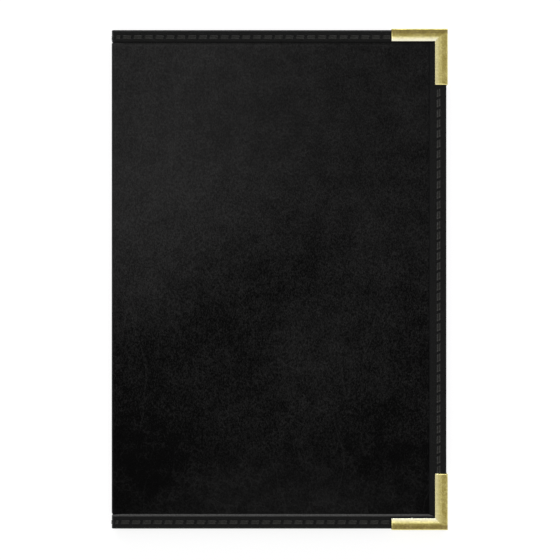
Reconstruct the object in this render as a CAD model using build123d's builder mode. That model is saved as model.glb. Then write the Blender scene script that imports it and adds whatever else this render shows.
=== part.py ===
"""Folding menu cover: two stiff leatherette leaves joined by a soft spine.

The closed cover lies on a table, front leaf uppermost. X runs from the spine (-X) to the
fore-edge (+X), Y runs up the page (+Y is the top of the menu) and Z is up. The origin is on
the table, under the middle of the closed cover. All sizes are in millimetres.
"""
import os
from math import pi

from build123d import *

os.makedirs("parts", exist_ok=True)

# The menu page, and the margins of the leaf round it
page_width = 139.7
page_height = 215.9
spine_margin = 8.0
fore_edge_margin = 10.05
end_margin = 9.55

# Sheet materials, from the outside of a leaf to its inside
brass_thick = 0.4
tape_thick = 0.7
leather_thick = 0.7
board_thick = 1.3
lining_thick = 0.3
vinyl_thick = 0.25

# Binding tape: how far each side reaches over the leaf, and its rounded edges
tape_top_width = 6.05
tape_bottom_width = 6.9
tape_fore_width = 8.2
tape_roll = 1.2
tape_lip = 0.55
spine_tape_roll = 1.0

# Pressed brass corners: a rolled edge, a flat band, then a crown that falls to the inner rim
corner_arm = 26.5
corner_flange = 5.8
corner_overhang = 0.6
corner_roll = 0.6
corner_flat = 2.5
corner_crown = 0.45
corner_rim = 0.15
corner_fit = 0.05

# Spine and its two creases
crease_radius = 1.5
crease_lead = 0.8
crease_seam = 0.05
leaf_gap = 0.3
board_setback = 5.0

# Clear pocket
pocket_setback = 7.0
pocket_slack = 0.3
pocket_border = 9.4
pocket_slope = 1.6

# Stitches
stitch_length = 3.8
stitch_width = 1.9
stitch_height = 0.22
stitch_slant = 0.4
stitch_draft = 30.0
stitch_pitch = 5.1
fore_stitch_pitch = 4.8
fore_row_shift = 0.5
first_stitch = 0.3
stitch_inset_top = 3.5
stitch_inset_bottom = 3.05
stitch_inset_fore = 3.7

# Leaf outline, and the levels of its layers above the flat band of the brass
leaf_width = page_width + spine_margin + fore_edge_margin
leaf_height = page_height + 2 * end_margin
skin_level = corner_crown + brass_thick + corner_fit
leather_level = skin_level + tape_thick
board_level = leather_level + leather_thick
lining_level = board_level + board_thick
window_level = lining_level + lining_thick
inner_tape_level = window_level + vinyl_thick
inner_skin_level = inner_tape_level + tape_thick
leaf_thick = inner_skin_level + skin_level
closed_thick = 2 * leaf_thick + leaf_gap

# Positions in plan: the whole width runs from the stitches on the spine to the brass
closed_width = stitch_height + leaf_width + corner_overhang
spine_x = stitch_height - closed_width / 2
fore_x = spine_x + leaf_width
end_y = leaf_height / 2
corner_x = fore_x + corner_overhang
corner_y = end_y + corner_overhang
crease_x = spine_x + tape_thick + crease_radius
hinge_x = crease_x + crease_lead
board_x = spine_x + board_setback
pocket_x = spine_x + pocket_setback
sheet_fore_x = fore_x - tape_thick
sheet_end_y = end_y - tape_thick

# Heights of the flat of the spine between its creases
crease_level = leather_level + crease_radius
spine_bottom = crease_level + crease_seam
spine_top = closed_thick - spine_bottom
mid_plane = Plane.XY.offset(closed_thick / 2)

# Thickness of the spine, counted inwards from its outer face
spine_leather_x = spine_x + tape_thick
spine_lining_x = spine_leather_x + leather_thick
spine_thick = 2 * tape_thick + leather_thick + lining_thick


def write(piece, name):
    """Label one finished piece and write it."""
    piece.part.label = name
    export_step(piece.part, f"parts/{name}.step")


def write_pair(piece, name):
    """Write a piece of the back leaf, and its mirror image on the front leaf."""
    write(piece, "back_" + name)
    with BuildPart() as twin:
        mirror(piece.part, about=mid_plane)
    write(twin, "front_" + name)


def sheet(near_x, far_x, far_y, level, thick):
    """A flat rectangular layer of the leaf."""
    with BuildPart() as layer:
        with BuildSketch(Plane.XY.offset(level)):
            with Locations(((near_x + far_x) / 2, 0)):
                Rectangle(far_x - near_x, 2 * far_y)
        extrude(amount=thick)
    return layer


write_pair(sheet(crease_x, sheet_fore_x, sheet_end_y, leather_level, leather_thick), "cover_leather")
write_pair(sheet(board_x, sheet_fore_x, sheet_end_y, board_level, board_thick), "board")
write_pair(sheet(board_x, sheet_fore_x, sheet_end_y, lining_level, lining_thick), "lining")


# Clear pocket sheet: a flat sewn border on three sides, and a middle raised to take the page
border_x = sheet_fore_x - pocket_border
border_y = sheet_end_y - pocket_border
with BuildPart() as window:
    with BuildSketch(Plane.XY.offset(window_level)):
        with Locations(((pocket_x + sheet_fore_x) / 2, 0)):
            Rectangle(sheet_fore_x - pocket_x, 2 * sheet_end_y)
    extrude(amount=vinyl_thick)
    for level, mode in ((window_level + vinyl_thick, Mode.ADD), (window_level, Mode.SUBTRACT)):
        with BuildSketch(Plane.XY.offset(level)):
            with Locations(((pocket_x + border_x) / 2, 0)):
                Rectangle(border_x - pocket_x, 2 * border_y)
        with BuildSketch(Plane.XY.offset(level + pocket_slack)):
            with Locations(((pocket_x + border_x - pocket_slope) / 2, 0)):
                Rectangle(border_x - pocket_slope - pocket_x, 2 * (border_y - pocket_slope))
        loft(ruled=True, mode=mode)
write_pair(window, "window")


def section_plane(origin, inwards, across):
    """A plane for a folded section: local X runs in from the edge, local Y through the leaf."""
    return Plane(origin=origin, x_dir=inwards, z_dir=Vector(*inwards).cross(Vector(*across)))


def tape_section(plane, width, outer, depth, roll):
    """The U of a tape folded over an edge, with a rolled edge and soft turned-in lips."""
    with BuildSketch(plane) as section:
        with Locations((0, outer)):
            Rectangle(width, depth, align=Align.MIN)
        fillet(section.vertices().group_by(Axis.X)[0], roll)
        fillet(section.vertices().group_by(Axis.X)[-1], tape_lip)
        with Locations((tape_thick, outer + tape_thick)):
            Rectangle(width, depth - 2 * tape_thick, align=Align.MIN, mode=Mode.SUBTRACT)
    return section.sketch


# Tapes over the top and bottom edges, mitred into the fore-edge tape
tape_depth = inner_skin_level - skin_level
ends = (("top", 1, tape_top_width), ("bottom", -1, tape_bottom_width))
for end, side, width in ends:
    with BuildPart() as end_tape:
        middle = ((hinge_x + fore_x) / 2, side * end_y, 0)
        plane = section_plane(middle, (0, -side, 0), (0, 0, 1))
        extrude(tape_section(plane, width, skin_level, tape_depth, tape_roll),
                amount=(fore_x - hinge_x) / 2, both=True)
        with BuildSketch():
            with BuildLine():
                Polyline((hinge_x, side * end_y), (fore_x, side * end_y),
                         (fore_x - width, side * (end_y - width)),
                         (hinge_x, side * (end_y - width)), close=True)
            make_face()
        extrude(amount=leaf_thick, mode=Mode.INTERSECT)
    write_pair(end_tape, f"binding_{end}")

with BuildPart() as fore_tape:
    plane = section_plane((fore_x, 0, 0), (-1, 0, 0), (0, 0, 1))
    extrude(tape_section(plane, tape_fore_width, skin_level, tape_depth, tape_roll),
            amount=end_y, both=True)
    with BuildSketch():
        with BuildLine():
            Polyline((fore_x, end_y), (fore_x, -end_y),
                     (fore_x - tape_bottom_width, -end_y + tape_bottom_width),
                     (fore_x - tape_fore_width, -end_y + tape_bottom_width),
                     (fore_x - tape_fore_width, end_y - tape_top_width),
                     (fore_x - tape_top_width, end_y - tape_top_width), close=True)
        make_face()
    extrude(amount=leaf_thick, mode=Mode.INTERSECT)
write_pair(fore_tape, "binding_fore_edge")

# Brass corner: one pressed channel, mitred at the tip of the leaf
with BuildPart() as corner_top:
    plane = section_plane((corner_x - corner_arm, corner_y, 0), (0, -1, 0), (0, 0, 1))
    with BuildSketch(plane) as channel:
        with BuildLine():
            TangentArc((corner_flat, 0), (corner_flange, corner_crown), tangent=(1, 0))
            Line((corner_flat, 0), (corner_roll, 0))
            RadiusArc((corner_roll, 0), (0, corner_roll), -corner_roll)
            Line((0, corner_roll), (0, leaf_thick / 2))
            mirror(about=Plane.XZ.offset(-leaf_thick / 2))
            offset(amount=brass_thick, side=Side.LEFT)
        make_face()
        fillet(channel.vertices().group_by(Axis.X)[-1], corner_rim)
    with BuildLine():
        Polyline((corner_x - corner_arm, corner_y), (corner_x, corner_y),
                 (corner_x, corner_y - corner_arm))
    sweep(transition=Transition.RIGHT)
write_pair(corner_top, "corner_top")

with BuildPart() as corner_bottom:
    mirror(corner_top.part, about=Plane.XZ)
write_pair(corner_bottom, "corner_bottom")


# The footprint of one stitch is a long parallelogram
stitch_outline = [(end * stitch_length / 2 + side * stitch_slant / 2, side * stitch_width / 2)
                  for end, side in ((-1, -1), (1, -1), (1, 1), (-1, 1))]


def stitch_row(x, y, turn, pitch, count):
    """Slanted stitches through a tape: a row on its outer face and one on its inner face."""
    with BuildPart() as row:
        for level, height in ((skin_level, -stitch_height), (inner_skin_level, stitch_height)):
            with BuildSketch(Plane.XY.offset(level)):
                with Locations(Location((x, y, 0), (0, 0, turn))):
                    with GridLocations(pitch, pitch, count, 1):
                        Polygon(*stitch_outline, align=None)
            extrude(amount=height, taper=stitch_draft)
    return row


# Stitches stop at the brass, the end rows start one pitch in from the spine, and the row
# along the fore-edge lies a little nearer the bottom
row_start = spine_x + first_stitch + stitch_pitch
end_run = corner_x - corner_arm - row_start - stitch_slant / 2
end_count = int((end_run - stitch_length) / stitch_pitch) + 1
row_middle = row_start + stitch_length / 2 + (end_count - 1) * stitch_pitch / 2
insets = {"top": stitch_inset_top, "bottom": stitch_inset_bottom}
for end, side, width in ends:
    end_row = stitch_row(row_middle, side * (end_y - insets[end]), 0, stitch_pitch, end_count)
    write_pair(end_row, f"stitching_{end}")
fore_run = 2 * (corner_y - corner_arm - fore_row_shift) - stitch_slant
fore_count = int((fore_run - stitch_length) / fore_stitch_pitch) + 1
fore_row = stitch_row(fore_x - stitch_inset_fore, -fore_row_shift, 90, fore_stitch_pitch, fore_count)
write_pair(fore_row, "stitching_fore_edge")

# Spine: a strip of leather and its lining between the creases, bound at both ends
spine_height = spine_top - spine_bottom
for name, near_x, thick in (("spine_leather", spine_leather_x, leather_thick),
                            ("spine_lining", spine_lining_x, lining_thick)):
    with BuildPart() as strip:
        with BuildSketch(Plane.XY.offset(spine_bottom)):
            with Locations((near_x + thick / 2, 0)):
                Rectangle(thick, 2 * sheet_end_y)
        extrude(amount=spine_height)
    write(strip, name)

for end, side, width in ends:
    with BuildPart() as spine_tape:
        middle = (0, side * end_y, closed_thick / 2)
        plane = section_plane(middle, (0, -side, 0), (1, 0, 0))
        extrude(tape_section(plane, width, spine_x, spine_thick, spine_tape_roll),
                amount=spine_height / 2, both=True)
    write(spine_tape, f"spine_binding_{end}")

with BuildPart() as spine_stitching:
    for face_x, outwards in ((spine_x, -1), (spine_x + spine_thick, 1)):
        face = Plane(origin=(face_x, 0, closed_thick / 2), x_dir=(0, 0, 1), z_dir=(outwards, 0, 0))
        with BuildSketch(face):
            for end, side, width in ends:
                with Locations((0, -outwards * side * (end_y - insets[end]))):
                    Polygon(*stitch_outline, align=None)
        extrude(amount=stitch_height, taper=stitch_draft)
write(spine_stitching, "spine_stitching")


def bend_section(y, outer, inner, lead):
    """A quarter ring round the crease, with a straight lead towards the leaf."""
    with BuildSketch(Plane(origin=(0, y, 0), x_dir=(1, 0, 0), z_dir=(0, -1, 0))) as section:
        with Locations((crease_x, crease_level)):
            Circle(outer)
            Circle(inner, mode=Mode.SUBTRACT)
            Rectangle(outer, outer, align=Align.MAX, mode=Mode.INTERSECT)
        if lead:
            with Locations((crease_x, crease_level - outer)):
                Rectangle(lead, outer - inner, align=Align.MIN)
    return section.sketch


# The leather and the tape that bend when the cover opens
with BuildPart() as crease:
    extrude(bend_section(0, crease_radius, crease_radius - leather_thick, 0), amount=sheet_end_y, both=True)
write_pair(crease, "crease")

tape_radius = crease_radius + tape_thick
web_radius = crease_radius - leather_thick - lining_thick
with BuildPart() as crease_tape:
    for end, side, width in ends:
        extrude(bend_section(side * (end_y - width), tape_radius, crease_radius, crease_lead),
                amount=-side * (width - tape_thick))
        extrude(bend_section(side * sheet_end_y, tape_radius, web_radius, crease_lead),
                amount=-side * tape_thick)
write_pair(crease_tape, "crease_binding")

# Opened flat, each crease is as long as its curve, so its fold line lies this far from the curve's centre
fold_reach = pi / 4 * (crease_radius - leather_thick / 2)
back_fold = crease_level - fold_reach
print(f"fold lines: x {crease_x - fold_reach:.4f}, z {back_fold:.4f} and {closed_thick - back_fold:.4f}")
print(f"leaf {leaf_width:.2f} x {leaf_height:.2f} x {leaf_thick:.2f}, closed {closed_thick:.2f}")
rest_inset = (corner_roll + corner_flat) / 2
print(f"rest face centre: x {corner_x - corner_arm / 2:.2f}, y {corner_y - rest_inset:.2f}")
print(f"pocket mouth: x {pocket_x:.2f}, {window_level + pocket_slack / 2:.2f} from the leaf's outer face")
print(f"stitches: {end_count} along each end, {fore_count} along the fore-edge")
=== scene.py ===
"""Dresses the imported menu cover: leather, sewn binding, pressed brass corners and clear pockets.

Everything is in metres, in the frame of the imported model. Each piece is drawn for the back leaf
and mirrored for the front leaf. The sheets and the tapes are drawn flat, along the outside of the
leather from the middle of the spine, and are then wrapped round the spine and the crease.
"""
from math import atan, cos, exp, pi, radians, sin, tan

import bmesh
import bpy
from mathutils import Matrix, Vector, noise


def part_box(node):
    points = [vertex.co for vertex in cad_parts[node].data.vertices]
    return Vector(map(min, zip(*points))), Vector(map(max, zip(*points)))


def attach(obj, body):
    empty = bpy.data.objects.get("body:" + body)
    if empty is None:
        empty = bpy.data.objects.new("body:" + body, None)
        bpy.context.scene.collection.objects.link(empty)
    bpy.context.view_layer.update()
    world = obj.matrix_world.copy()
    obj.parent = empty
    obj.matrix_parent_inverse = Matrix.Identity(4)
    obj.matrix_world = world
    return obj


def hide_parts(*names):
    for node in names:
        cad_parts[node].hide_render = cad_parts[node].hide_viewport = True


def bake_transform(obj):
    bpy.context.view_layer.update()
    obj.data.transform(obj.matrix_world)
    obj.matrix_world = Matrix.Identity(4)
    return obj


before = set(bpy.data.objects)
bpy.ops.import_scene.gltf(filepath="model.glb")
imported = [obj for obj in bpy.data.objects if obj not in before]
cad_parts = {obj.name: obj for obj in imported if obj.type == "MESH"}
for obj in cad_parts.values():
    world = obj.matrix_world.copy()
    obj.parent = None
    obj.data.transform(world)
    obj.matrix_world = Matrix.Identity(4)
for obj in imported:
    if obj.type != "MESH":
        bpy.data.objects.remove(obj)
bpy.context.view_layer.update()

bl_info = {
    "name": "Menu Cover",
    "version": (1, 0, 0),
    "blender": (4, 5, 0),
    "location": "3D View > Sidebar > Menu Cover",
    "description": "Makes the looks of a folding menu cover round its packed frame",
    "category": "Add Mesh",
}

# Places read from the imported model
LEATHER_LOW, LEATHER_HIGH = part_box("back_cover_leather")
CREASE_LOW, CREASE_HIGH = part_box("back_crease")
SPINE_LOW, SPINE_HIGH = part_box("spine_leather")
SPINE_LINING_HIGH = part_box("spine_lining")[1]
SPINE_TAPE_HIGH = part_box("spine_binding_top")[1]
BOARD_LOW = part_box("back_board")[0]
LINING_LOW, LINING_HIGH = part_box("back_lining")
WINDOW_LOW, WINDOW_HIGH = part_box("back_window")
TAPE_LOW, TAPE_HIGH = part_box("back_binding_fore_edge")
CORNER_LOW, CORNER_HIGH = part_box("back_corner_top")
TOP_LIP_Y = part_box("back_binding_top")[0].y
FOOT_LIP_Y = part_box("back_binding_bottom")[1].y

LEATHER_THICK = LEATHER_HIGH.z - LEATHER_LOW.z
TAPE_THICK = LEATHER_LOW.z - TAPE_LOW.z
LEAF_DEPTH = LEATHER_LOW.z              # level of the leather's outer face in the back leaf
MIDDLE_Z = (SPINE_LOW.z + SPINE_HIGH.z) / 2
CREASE_X, CREASE_Z = LEATHER_LOW.x, CREASE_HIGH.z
CREASE_RADIUS = CREASE_X - CREASE_LOW.x
SPINE_HALF = MIDDLE_Z - CREASE_Z
LEAF_START = SPINE_HALF + CREASE_RADIUS * pi / 2
RAMP = BOARD_LOW.x - CREASE_X           # from the crease to where the board lifts the lining
FORE_X, END_Y = TAPE_HIGH.x, TAPE_HIGH.y
SHEET_X, SHEET_Y = LEATHER_HIGH.x, LEATHER_HIGH.y
CORNER_X, CORNER_Y = CORNER_HIGH.x, CORNER_HIGH.y
TAPE_WIDTH = {"top": END_Y - TOP_LIP_Y, "bottom": END_Y + FOOT_LIP_Y,
              "fore_edge": FORE_X - TAPE_LOW.x}

# Depths below the leather's outer face
SPINE_INSIDE = SPINE_LINING_HIGH.x - SPINE_LOW.x
LINING_DEPTH = LINING_LOW.z - LEAF_DEPTH
LINING_THICK = LINING_HIGH.z - LINING_LOW.z
INNER_SKIN = TAPE_HIGH.z - LEAF_DEPTH
INNER_TAPE = INNER_SKIN - TAPE_THICK

ENDS = (("top", 1), ("bottom", -1))
LEAVES = ("back", "front")
MM = 0.001
AIR_GAP = 0.02 * MM                     # between the clear sheet's border and the lining
WELD = 1e-7                             # points nearer together than this become one
# Degrees; an edge that turns more than this stays sharp
SHARP, PRESSED_SHARP, NEVER_SHARP = 38, 45, 180


# ---------------------------------------------------------------- settings


def length(name, description, default):
    return bpy.props.FloatProperty(name=name, description=description, default=default,
                                   unit="LENGTH", subtype="DISTANCE", precision=5)


def share(name, description, default):
    return bpy.props.FloatProperty(name=name, description=description, default=default,
                                   min=0.0, max=1.0, subtype="FACTOR")


def level(name, description, default):
    return bpy.props.FloatProperty(name=name, description=description, default=default, min=0.0)


def colour(name, description, default):
    return bpy.props.FloatVectorProperty(name=name, description=description, default=default,
                                         size=3, min=0.0, max=1.0, subtype="COLOR")


class LeatherSettings(bpy.types.PropertyGroup):
    """The leatherette sheet and the lining."""
    tint: colour("Leatherette Colour", "Outer sheet where it is darkest", (0.0006, 0.0007, 0.0011))
    # Palest colour of the outer sheet: the pale end of its grain and patches, and of its painted
    # sheen
    pale_and_sheen: colour("Worn Colour", "Outer sheet where it is palest", (0.0285, 0.0283, 0.0285))
    roughness: share("Roughness", "Roughness of the outer sheet", 0.46)
    grain: length("Grain Size", "Size of the embossed grain", 0.52 * MM)
    crackle: length("Crackle Size", "Size of the coarser cells in the grain", 2.7 * MM)
    bulge: length("Spine Bulge", "Swelling over the spine, between the tapes", 0.74 * MM)
    wave: length("Unevenness", "Height of the slow waves in the sheet", 0.09 * MM)
    lining_tint: colour("Lining Colour", "Inner sheet", (0.012, 0.012, 0.013))


class BindingSettings(bpy.types.PropertyGroup):
    """The tapes sewn over the edges."""
    tint: colour("Binding Colour", "Tape", (0.0025, 0.0028, 0.0037))
    roughness: share("Roughness", "Roughness of the tape", 0.4)
    roll: length("Edge Roll", "Radius where the tape folds over the edge", 0.8 * MM)
    spine_roll: length("Spine Roll", "Radius of that fold at the spine", 0.4 * MM)
    lip: length("Lip Height", "Rounding on the turned-in edge of the tape", 0.6 * MM)
    lip_width: length("Lip Width", "Width of that rounding", 1.2 * MM)
    # Painted highlight: the pale colour of the bottom tape's lip and of the rolled edges
    lip_highlight_tint: colour("Lip Colour", "Bottom tape's lip, which is rubbed", (0.062, 0.062, 0.062))
    groove: length("Groove Depth", "Depth that the seam pulls the tape in", 0.13 * MM)
    crease_thick: length("Crease Thickness", "Inner leg of the tape where it bends", 0.35 * MM)


class ThreadSettings(bpy.types.PropertyGroup):
    """The doubled stitches."""
    tint: colour("Thread Colour", "Thread", (0.0075, 0.0079, 0.0085))
    stitch: length("Stitch Length", "Length of one stitch", 3.85 * MM)
    spread: length("Stitch Width", "Width over both strands", 1.85 * MM)
    stand: length("Stitch Height", "Height over the tape", 0.24 * MM)
    end_slant: length("End Slant", "Lead of one strand, at the top and bottom", 0.18 * MM)
    fore_slant: length("Fore-edge Slant", "Lead of one strand, on the fore-edge", 0.34 * MM)
    end_pitch: length("End Pitch", "Spacing along the top and bottom", 5.1 * MM)
    fore_pitch: length("Fore-edge Pitch", "Spacing along the fore-edge", 4.8 * MM)
    inset_top: length("Top Inset", "From the top edge to the seam", 3.5 * MM)
    inset_bottom: length("Bottom Inset", "From the bottom edge to the seam", 3.05 * MM)
    inset_fore: length("Fore-edge Inset", "From the fore-edge to the seam", 3.7 * MM)
    fore_shift: length("Fore-edge Shift", "From the middle down to the seam's middle", 1.0 * MM)
    foot_shift: length("Foot Shift", "How much nearer the spine the bottom rows lie", 0.85 * MM)


class BrassSettings(bpy.types.PropertyGroup):
    """The pressed corners."""
    tint: colour("Brass Colour", "Polished metal", (0.9, 0.84, 0.39))
    # Painted highlight: a pale, nearly white colour along the inner rim that whitens its highlight
    rub_and_highlight: colour("Rubbed Colour", "Metal where it is rubbed thin", (0.85, 0.85, 0.73))
    # Tarnish colour, which is also the colour of the painted dark reflection on the flat band
    tarnish_and_shade: colour("Tarnish Colour", "Dull patches", (0.42, 0.35, 0.15))
    roughness: share("Roughness", "Roughness of the polished metal", 0.13)
    thick: length("Sheet Thickness", "Thickness of the pressed sheet", 0.4 * MM)
    roll: length("Edge Roll", "Radius of the rolled outer edge", 0.45 * MM)
    flat: length("Flat Band", "From the outer edge to the ridge", 2.5 * MM)
    crown: length("Crown", "Fall from the flat band to the inner rim", 0.45 * MM)
    break_share: share("Ridge Break", "Share of the slope that starts at the ridge", 0.55)
    flange: length("Flange", "Width of the flange over the leaf", 5.85 * MM)
    foot_flange: length("Foot Flange", "Width of the flange along the bottom", 5.4 * MM)


class PocketSettings(bpy.types.PropertyGroup):
    """The clear sheet that holds the page."""
    tint: colour("Vinyl Colour", "Clear sheet", (0.94, 0.96, 0.97))
    border: length("Sewn Border", "Width of the flat border", 9.4 * MM)
    rise: length("Slack", "Rise of the middle off the lining", 0.3 * MM)
    wave: length("Waves", "Height of the soft waves in the sheet", 0.12 * MM)


class StudioSettings(bpy.types.PropertyGroup):
    """The floor, the lamps and the camera."""
    frame_width: length("Frame Width", "Width in view at the front leaf", 263.6 * MM)
    lens: level("Lens", "Focal length in millimetres", 200.0)
    floor_tint: colour("Floor Colour", "Floor", (0.3, 0.3, 0.3))
    floor_glow: level("Floor Glow", "White that the floor adds where the camera sees it", 0.82)
    ceiling: level("Ceiling", "Brightness of the room above, as gloss shows it", 0.3)
    ceiling_tint: colour("Ceiling Colour", "Room above, as gloss shows it", (1.0, 0.86, 0.46))
    room: level("Room", "Brightness of the room's walls", 0.33)


class MenuCoverSettings(bpy.types.PropertyGroup):
    """All the settings of the cover."""
    leather: bpy.props.PointerProperty(type=LeatherSettings)
    binding: bpy.props.PointerProperty(type=BindingSettings)
    thread: bpy.props.PointerProperty(type=ThreadSettings)
    brass: bpy.props.PointerProperty(type=BrassSettings)
    pocket: bpy.props.PointerProperty(type=PocketSettings)
    studio: bpy.props.PointerProperty(type=StudioSettings)


# ---------------------------------------------------------------- shapes


def smooth(value):
    """0 below 0, 1 above 1, and a soft curve between."""
    value = min(1.0, max(0.0, value))
    return value * value * (3 - 2 * value)


def run_at(x):
    """How far along the leather from the middle of the spine an x on the leaf lies."""
    return LEAF_START + x - CREASE_X


def lines(start, *stretches):
    """Places from start on, through stretches that each have an end and about a step."""
    found = [start]
    for stop, step in stretches:
        count = max(1, round((stop - start) / step))
        found += [start + (stop - start) * i / count for i in range(1, count + 1)]
        start = stop
    return found


def lattice(bm, columns, rows, place):
    """A grid of faces with its vertices where place says; gives the column and row of each."""
    made = bmesh.ops.create_grid(bm, x_segments=columns, y_segments=rows, size=0.5)
    spots = {}
    for vert in made["verts"]:
        spots[vert] = round((vert.co.x + 0.5) * columns), round((vert.co.y + 0.5) * rows)
        vert.co = place(*spots[vert])
    return spots


def sheet(bm, across, along, top, bottom):
    """A closed sheet over a grid, with its faces at the depths that top and bottom give."""
    lattice(bm, len(across) - 1, len(along) - 1, lambda i, j: (across[i], along[j], 0))
    made = bmesh.ops.extrude_face_region(bm, geom=bm.faces[:])
    under = {item for item in made["geom"] if isinstance(item, bmesh.types.BMVert)}
    for vert in bm.verts:
        reach = bottom if vert in under else top
        vert.co.z = reach(vert.co.x, vert.co.y)


def close_ends(bm):
    bmesh.ops.holes_fill(bm, edges=[edge for edge in bm.edges if edge.is_boundary], sides=0)


def tube(bm, rings, edge_highlight=None):
    """A closed tube through rings of equally many points, with its ends filled.

    edge_highlight gives how much painted highlight each point of a ring carries, for its material
    to read.
    """
    count = len(rings[0])
    layer = bm.verts.layers.float.new("edge_highlight") if edge_highlight else None
    spots = lattice(bm, len(rings) - 1, count, lambda i, j: rings[i][j % count])
    if edge_highlight:
        for vert, (_, j) in spots.items():
            vert[layer] = edge_highlight[j % count]
    bmesh.ops.remove_doubles(bm, verts=list(spots), dist=WELD)
    close_ends(bm)


def wrap(bm):
    """Wraps what was drawn flat round the spine and the crease of the back leaf."""
    for vert in bm.verts:
        run, y, depth = vert.co
        if run < SPINE_HALF:
            x, z = SPINE_LOW.x + depth, MIDDLE_Z - run
        elif run < LEAF_START:
            turn = (run - SPINE_HALF) / CREASE_RADIUS
            reach = CREASE_RADIUS - depth
            x, z = CREASE_X - reach * cos(turn), CREASE_Z - reach * sin(turn)
        else:
            x, z = CREASE_X + run - LEAF_START, LEAF_DEPTH + depth
        vert.co = (x, y, z)


def finish_piece(bm, name, material, replaced, edge_angle):
    """Makes the piece from its mesh, smooth apart from its sharp edges."""
    bmesh.ops.recalc_face_normals(bm, faces=bm.faces[:])
    for face in bm.faces:
        face.smooth = True
    mesh = bpy.data.meshes.new(name)
    bm.to_mesh(mesh)
    bm.free()
    mesh.set_sharp_from_angle(angle=radians(edge_angle))
    piece = bpy.data.objects.new(name, mesh)
    bpy.context.scene.collection.objects.link(piece)
    mesh.materials.append(material)
    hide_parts(*replaced)
    return piece


def leaf_piece(leaf, name, draw, material, replaced, bent=False, edge_angle=SHARP):
    """Draws a piece of a leaf. A bent one is wrapped round the spine and the crease."""
    bm = bmesh.new()
    draw(bm)
    if bent:
        wrap(bm)
    start = Vector((CREASE_X, 0, LEAF_DEPTH + LEATHER_THICK / 2))
    end = Vector((SPINE_LOW.x + LEATHER_THICK / 2, 0, CREASE_Z))
    if leaf == "front":
        for place in [vert.co for vert in bm.verts] + [start, end]:
            place.z = 2 * MIDDLE_Z - place.z
    piece = finish_piece(bm, f"{leaf}_{name}", material, replaced, edge_angle)
    if bent:
        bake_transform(piece)
    else:
        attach(piece, f"{leaf}_cover")


def arc(centre, radius, start, stop, count):
    """Points along an arc; the angles are in degrees from the way in across the leaf."""
    turns = [radians(start + (stop - start) * i / count) for i in range(count + 1)]
    return [(centre[0] + radius * cos(turn), centre[1] + radius * sin(turn)) for turn in turns]


def between(start, stop, count):
    """Points between two points, without the ends."""
    return [tuple(a + (b - a) * i / count for a, b in zip(start, stop)) for i in range(1, count)]


# ---------------------------------------------------------------- materials


class Value:
    """The output of a node. Arithmetic with it adds Math nodes to its tree."""

    def __init__(self, output):
        self.output, self.tree = output, output.id_data

    def calc(self, operation, first, second=0.0):
        return node(self.tree, "ShaderNodeMath", {0: first, 1: second}, operation=operation)

    def __add__(self, other):
        return self.calc("ADD", self, other)

    def __sub__(self, other):
        return self.calc("SUBTRACT", self, other)

    def __rsub__(self, other):
        return self.calc("SUBTRACT", other, self)

    def __mul__(self, other):
        return self.calc("MULTIPLY", self, other)

    def __abs__(self):
        return self.calc("ABSOLUTE", self)

    def or_more(self, other):
        return self.calc("MAXIMUM", self, other)

    def or_less(self, other):
        return self.calc("MINIMUM", self, other)


def feed(target, inputs):
    """Sets the inputs of a node, or links them where a Value is given."""
    for name, value in inputs.items():
        if isinstance(value, Value):
            value.tree.links.new(value.output, target.inputs[name])
        else:
            target.inputs[name].default_value = value


def node(tree, kind, inputs=None, output=0, **settings):
    """Adds a node with its settings and inputs, and gives one of its outputs."""
    made = tree.nodes.new(kind)
    for name, value in settings.items():
        setattr(made, name, value)
    feed(made, inputs or {})
    return Value(made.outputs[output])


def new_material(name):
    """A material with only a shader and its output."""
    material = bpy.data.materials.new(name)
    material.use_nodes = True
    tree = material.node_tree
    tree.nodes.clear()
    shader = tree.nodes.new("ShaderNodeBsdfPrincipled")
    feed(tree.nodes.new("ShaderNodeOutputMaterial"), {"Surface": Value(shader.outputs["BSDF"])})
    return material, tree, shader


def object_place(tree, stretch=(1, 1, 1), turn=0.0):
    """Object coordinates, stretched and turned about Z."""
    place = node(tree, "ShaderNodeTexCoord", output="Object")
    return node(tree, "ShaderNodeMapping",
                {"Vector": place, "Scale": stretch, "Rotation": (0, 0, turn)})


def axes(place):
    """The X, Y and Z of a place."""
    split = node(place.tree, "ShaderNodeSeparateXYZ", {"Vector": place}).output.node
    return [Value(output) for output in split.outputs]


def cloud(place, size, detail=3.0, rough=0.55, stir=0.0, output="Fac"):
    """Soft noise with features of about the given size."""
    return node(place.tree, "ShaderNodeTexNoise",
                {"Vector": place, "Scale": 1 / size, "Detail": detail, "Roughness": rough,
                 "Distortion": stir}, output)


def remap(value, low, high, to_low=0.0, to_high=1.0):
    """A value's range turned into another range, softly."""
    return node(value.tree, "ShaderNodeMapRange",
                {"Value": value, "From Min": low, "From Max": high, "To Min": to_low,
                 "To Max": to_high}, interpolation_type="SMOOTHSTEP")


def blend_colour(amount, first, second):
    """Two colours mixed by a value."""
    first, second = (part if isinstance(part, Value) else (*part, 1.0) for part in (first, second))
    return node(amount.tree, "ShaderNodeMix", {0: amount, 6: first, 7: second}, 2, data_type="RGBA")


def bump(*layers):
    """Bumps over one another, each from a height, its distance and its strength."""
    under = {}
    for height, distance, strength in layers:
        body = node(height.tree, "ShaderNodeBump",
                    {"Height": height, "Distance": distance, "Strength": strength, **under})
        under = {"Normal": body}
    return body


def places(operation, first, second, output=0):
    """Arithmetic on places."""
    return node(first.tree, "ShaderNodeVectorMath", {0: first, 1: second}, output,
                operation=operation)


def cells(place, size, stir_size, stir):
    """Distance to the edges of small irregular cells, which noise keeps from being straight."""
    tossed = places("MULTIPLY", cloud(place, stir_size, 2.0, 0.5, output="Color"), (stir,) * 3)
    return node(place.tree, "ShaderNodeTexVoronoi",
                {"Vector": places("ADD", place, tossed), "Scale": 1 / size, "Randomness": 1.0},
                feature="DISTANCE_TO_EDGE")


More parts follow.
